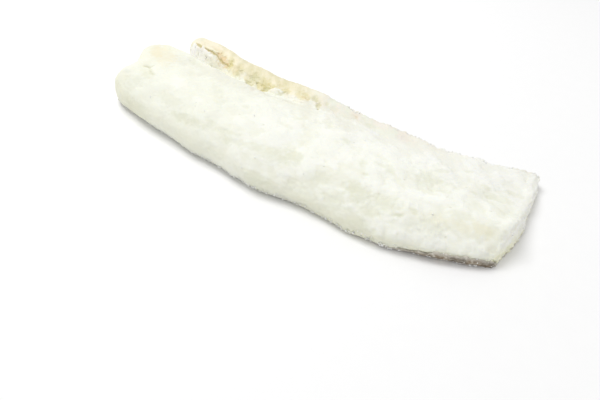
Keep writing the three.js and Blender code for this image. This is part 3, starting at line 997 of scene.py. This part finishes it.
def with_sawn_end(wire, noises, colour):
    """Adds the sawn end, olive in front and whiter behind, with faint rings of flakes and a darker olive
    foot.
    """
    across = place_across(wire)
    cut_face = over((across + noises.middle * 0.02).step(-0.012, 0.012), SAWN_PALE, SAWN_OLIVE)
    crusted = (attribute(wire, "cut_low") + noises.middle - 0.5).clamped()
    cut_face = over(crusted, cut_face, SAWN_CRUST)
    centred = wire.node("Mapping", (), {"Vector": texture_place(wire), "Location": CUT_MIDDLE})
    rings = {"wave_type": "RINGS", "rings_direction": "X"}
    flakes = wire.node("TexWave", rings, {"Vector": centred, **FLAKE_RINGS}, outlet="Fac")
    cut_face = over(flakes.step(0.35, 0.95) * noises.mottled * 0.35, SAWN_FLAKE, cut_face)
    darker_foot = (attribute(wire, "cut_foot") * (noises.streaks + 0.3)).clamped()
    cut_face = over(darker_foot, SAWN_FOOT, cut_face)
    return over(attribute(wire, "sawn"), cut_face, colour)


print("rings of flakes on the sawn end:", FLAKE_RINGS)

# %% The whole flesh
FLESH_BUMP = 0.2 * MM
FLESH_SCATTER = 2.5 * MM


def salted_flesh_finish():
    """The crusted flesh, with its lining, torn flakes, sawn end and pits."""
    material, wire, shader = new_finish("salted_flesh")
    noises = flesh_noises(wire)
    colour = crust_colour(wire, noises)
    colour = with_lining(wire, noises, colour)
    colour = layered(wire, noises, RIM_LAYERS, colour)
    colour = with_torn_flakes(wire, noises, colour)
    colour = with_sawn_end(wire, noises, colour)
    colour = over(attribute(wire, "pits").step(0.2, 0.9) * 0.5, PIT_GREY, colour)
    rough = 0.86 - attribute(wire, "lining") * 0.3 - noises.bare * 0.12
    finish_with(shader, wire, colour, rough, noises.fine * 0.7 + noises.powder * 0.3, FLESH_BUMP)
    let_light_in(shader, 0.2, (1.0, 0.9, 0.7), FLESH_SCATTER)
    return material


flesh.data.materials.append(salted_flesh_finish())
print("finish of the flesh:", len(flesh.data.materials[0].node_tree.nodes), "nodes")

# %% [markdown]
# ## The finish of the skin
#
# Cod skin is olive grey with brown blotches on the back, and it pales to silver cream towards the belly,
# with a light line along the flank. Salt bleaches it and leaves a white bloom. The scales are tiny, so
# they are a pattern of small cells in the bump and, faintly, in the colour.

# %% Fish skin
SKIN_DARK = tint(104, 94, 82)
SKIN_BROWN = tint(134, 116, 94)
SKIN_PALE = tint(206, 199, 180)
SKIN_BLOOM = tint(226, 222, 210)
SKIN_BUMP = 0.3 * MM
SCALES_PER_METRE = 560.0
FLANK_LINE = 0.004
FLANK_SHARPNESS = 60000


def fish_skin_finish():
    """Mottled, scaled skin with a bloom of salt."""
    material, wire, shader = new_finish("fish_skin")
    place = texture_place(wire)
    across = place_across(wire)
    blotch = speckle(wire, place, 9 * MM, 5, 0.6)
    dust = speckle(wire, place, 3 * MM, 5, 0.7)
    long_place = texture_place(wire, squeeze=(0.7, 1, 1))
    scales = wire.node("TexVoronoi", (), {"Vector": long_place, "Scale": SCALES_PER_METRE})
    belly = (across + blotch * 0.02).step(-0.02, 0.05)
    colour = over(blotch.step(0.42, 0.62), SKIN_BROWN, SKIN_DARK)
    colour = over(belly, SKIN_PALE, colour)
    from_line = across - FLANK_LINE
    flank = 1 - (from_line * from_line * FLANK_SHARPNESS).clamped()
    colour = over(flank * 0.6, SKIN_PALE, colour)
    colour = over(scales.step(0.35, 0.75) * 0.35, SKIN_PALE, colour)
    colour = over(dust.step(0.52, 0.7) * 0.75, SKIN_BLOOM, colour)
    # The frost is salt bloom, and under the hem also painted light.
    colour = over(attribute(wire, "frost_and_light") * 0.9, SKIN_BLOOM, colour)
    finish_with(shader, wire, colour, 0.5 + dust * 0.4, scales * 0.6 + dust * 0.6, SKIN_BUMP)
    return material


skin.data.materials.append(fish_skin_finish())
print("finish of the skin:", len(skin.data.materials[0].node_tree.nodes), "nodes")

# %% [markdown]
# ## The finish of the grains
#
# A grain of salt is clear, but its chipped sides scatter light, so it looks milky white with a faint
# grey core. Glass would cost a lot of light paths for specks of a millimetre. Light that scatters under
# the surface, and a low roughness, give the same soft sparkle.

# %% Rock salt
GRAIN_WHITE = tint(252, 252, 250)
GRAIN_GREY = tint(226, 227, 222)
GRAIN_BUMP = 0.05 * MM
GRAIN_SCATTER = 1 * MM
SALT_IOR = 1.54


def rock_salt_finish():
    """Milky salt that light gets a little way into."""
    material, wire, shader = new_finish("rock_salt")
    place = texture_place(wire)
    cloud = speckle(wire, place, 2 * MM, 3)
    scratches = speckle(wire, place, 0.4 * MM)
    colour = over(cloud.step(0.35, 0.65), GRAIN_WHITE, GRAIN_GREY)
    finish_with(shader, wire, colour, 0.3 + cloud * 0.35, scratches, GRAIN_BUMP)
    shader.inputs["IOR"].default_value = SALT_IOR
    let_light_in(shader, 0.8, (1.0, 1.0, 1.0), GRAIN_SCATTER)
    return material


grains.data.materials.append(rock_salt_finish())
print("finish of the grains:", len(grains.data.materials[0].node_tree.nodes), "nodes")

# %% [markdown]
# ## Hand the pieces to the frame
#
# All three pieces stand for the one solid of the loin, which is hidden, and ride on its body. The
# grains stay flat shaded, because salt breaks along flat sides.

# %% Ride and replace
for piece in (flesh, skin, grains):
    piece.data.shade_smooth()
    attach(piece, "root")
    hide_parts("cod_loin")
grains.data.shade_flat()
print("pieces that stand for the loin:", [piece.name for piece in (flesh, skin, grains)])

# %% [markdown]
# ## Floor, lights and camera
#
# White food on a white ground needs soft light from above with one side a little stronger, or its relief
# disappears. A large softbox stands above and towards the nape, so that the front flank and the sawn end
# fall into a mild shade, and a bright sky fills the rest.

# %% The floor
FLOOR_SIDE = 8.0
CARD_WHITE = tint(253, 253, 253)
CARD_SHADE = tint(251, 251, 251)
CARD_BUMP = 0.02 * MM


def floor_finish():
    """Matt white card."""
    material, wire, shader = new_finish("white_card")
    fibre = speckle(wire, texture_place(wire), 10 * MM)
    finish_with(shader, wire, over(fibre, CARD_WHITE, CARD_SHADE), 0.7 + fibre * 0.05, fibre, CARD_BUMP)
    return material


floor_shape = bmesh.new()
bmesh.ops.create_grid(floor_shape, x_segments=1, y_segments=1, size=FLOOR_SIDE / 2)
floor = piece_from(floor_shape, "floor")
floor.data.materials.append(floor_finish())
print("floor:", FLOOR_SIDE, "m wide")

# %% The lights
WHITE = (1, 1, 1, 1)
SKY_STRENGTH = 0.665
SOFTBOX_PLACE = Vector((-0.7, 0.1, 1.5))
SOFTBOX_SIDE = 0.85
SOFTBOX_POWER = 13.2

sky = bpy.data.worlds.new("sky")
sky.use_nodes = True
sky.node_tree.nodes["Background"].inputs["Color"].default_value = WHITE
sky.node_tree.nodes["Background"].inputs["Strength"].default_value = SKY_STRENGTH
bpy.context.scene.world = sky
softbox_lamp = bpy.data.lights.new("softbox", "AREA")
softbox_lamp.shape = "SQUARE"
softbox_lamp.size = SOFTBOX_SIDE
softbox_lamp.energy = SOFTBOX_POWER
softbox = bpy.data.objects.new("softbox", softbox_lamp)
softbox.location = SOFTBOX_PLACE
softbox.rotation_mode = "QUATERNION"
softbox.rotation_quaternion = (-SOFTBOX_PLACE).to_track_quat("-Z", "Y")
bpy.context.scene.collection.objects.link(softbox)
bpy.context.scene.view_settings.view_transform = "Standard"
print("softbox stands", round(SOFTBOX_PLACE.length, 2), "m away")

# %% The camera
CAMERA_PLACE = Vector((193.67, -260.86, 205.47)) * MM
CAMERA_RIGHT = Vector((0.8033, 0.5952, 0.0210))
CAMERA_UP = Vector((-0.3884, 0.4968, 0.7761))
LENS = 29.597
SENSOR_WIDTH = 36
NEAREST = 0.01

lens = bpy.data.cameras.new("camera")
lens.lens = LENS
lens.sensor_width = SENSOR_WIDTH
lens.clip_start = NEAREST
camera = bpy.data.objects.new("camera", lens)
right = CAMERA_RIGHT.normalized()
back = right.cross(CAMERA_UP).normalized()
turn = Matrix((right, back.cross(right), back)).transposed()
camera.matrix_world = Matrix.Translation(CAMERA_PLACE) @ turn.to_4x4()
bpy.context.scene.collection.objects.link(camera)
bpy.context.scene.camera = camera
print("camera stands", round(CAMERA_PLACE.length / MM), "mm from the middle of the loin's foot")
